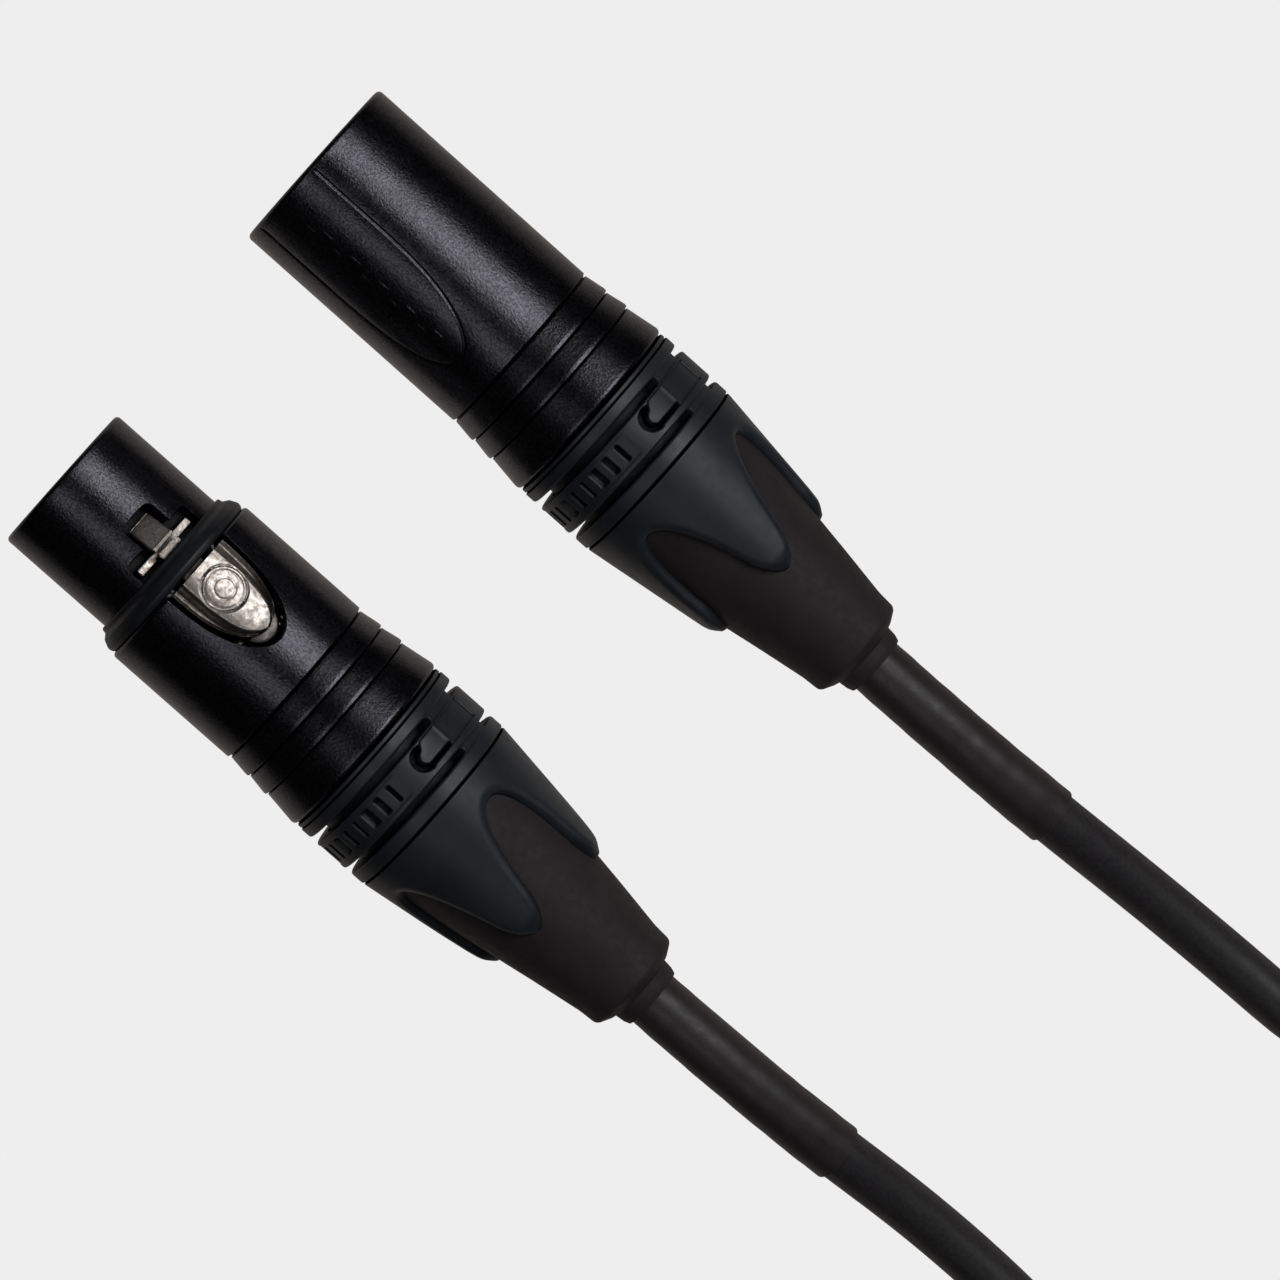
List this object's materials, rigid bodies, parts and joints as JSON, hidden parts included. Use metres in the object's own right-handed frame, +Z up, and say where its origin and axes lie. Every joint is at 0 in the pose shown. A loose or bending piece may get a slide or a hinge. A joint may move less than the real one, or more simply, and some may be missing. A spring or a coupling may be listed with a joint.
{
  "type": "balanced audio cable",
  "caption": "Balanced audio cable with a male and a female three-pole cable connector, screw-on strain-relief boots, heat-shrink sleeves and the spare length tied in a round coil.",
  "frame": {"origin": "middle of the connector pair on the surface it lies on", "axes": "+X along both connectors from nose to cable, +Y from the female to the male connector, +Z up"},
  "size_m": [0.2245, 0.0792, 0.0242],
  "materials": {
    "housing_black": "black fine-grained satin coat on die-cast zinc",
    "petal_plastic": "blue-black moulded plastic, satin",
    "boot_rubber": "brown-black matt elastomer",
    "ring_rubber": "black smooth rubber",
    "contact_carrier": "black glass-filled plastic",
    "chuck_plastic": "dark acetal",
    "heat_shrink": "brown-black matt heat-shrink",
    "cable_jacket": "black matt flexible jacket",
    "latch_nickel": "nickel-plated, worn soft satin",
    "pin_steel": "plain turned steel",
    "spring_steel": "bright spring steel",
    "contact_silver": "silver-plated, smooth",
    "wire_red": "insulation",
    "wire_white": "insulation",
    "wire_black": "insulating sleeve over the drain wire",
    "tie_fabric": "black hook-and-loop strap"
  },
  "bodies": {
    "root": {"cable_coil": "cable_jacket", "cable_tie": "tie_fabric", "male_housing": "housing_black", "male_insert": "contact_carrier", "male_cable_end": "cable_jacket", "male_lead": "cable_jacket", "male_sleeve": "heat_shrink", "male_wire_hot": "wire_red", "male_wire_cold": "wire_white", "male_wire_shield": "wire_black", "female_housing": "housing_black", "female_insert": "contact_carrier", "female_cable_end": "cable_jacket", "female_lead": "cable_jacket", "female_sleeve": "heat_shrink", "female_wire_hot": "wire_red", "female_wire_cold": "wire_white", "female_wire_shield": "wire_black", "male_pin_1": "contact_silver", "male_pin_2": "contact_silver", "male_pin_3": "contact_silver", "female_socket_1": "contact_silver", "female_socket_2": "contact_silver", "female_socket_3": "contact_silver", "female_rubber_ring": "ring_rubber", "female_latch_pin": "pin_steel", "female_latch_spring": "spring_steel"},
    "latch": {"female_latch_lever": "latch_nickel"},
    "male_grip": {"male_chuck": "chuck_plastic"},
    "male_nut": {"male_bushing": "petal_plastic", "male_boot": "boot_rubber", "male_coding_ring": "petal_plastic"},
    "female_grip": {"female_chuck": "chuck_plastic"},
    "female_nut": {"female_bushing": "petal_plastic", "female_boot": "boot_rubber", "female_coding_ring": "petal_plastic"}
  },
  "joints": [
    {"name": "latch_press", "type": "hinge", "parent": "root", "child": "latch", "pos_m": [-0.01395, -0.01765, 0.01599], "axis": [0, -0.9588, 0.284], "range_deg": [0, 4], "stiffness_Nm_per_rad": 0.3, "springref_deg": -4.01, "deforming": ["female_latch_spring"]},
    {"name": "male_nut_travel", "type": "slide", "parent": "root", "child": "male_grip", "axis": [1, 0, 0], "range_m": [0, 0.00376]},
    {"name": "male_nut_unscrew", "type": "hinge", "parent": "male_grip", "child": "male_nut", "pos_m": [0.00085, 0.01935, 0.01024], "axis": [1, 0, 0], "range_deg": [0, 1080]},
    {"name": "female_nut_travel", "type": "slide", "parent": "root", "child": "female_grip", "axis": [1, 0, 0], "range_m": [0, 0.00376]},
    {"name": "female_nut_unscrew", "type": "hinge", "parent": "female_grip", "child": "female_nut", "pos_m": [0.00615, -0.01935, 0.01024], "axis": [1, 0, 0], "range_deg": [0, 1080]}
  ],
  "couplings": [
    {"joint": "male_nut_travel", "follows": "male_nut_unscrew", "m_per_rad": 0.00019894},
    {"joint": "female_nut_travel", "follows": "female_nut_unscrew", "m_per_rad": 0.00019894}
  ]
}
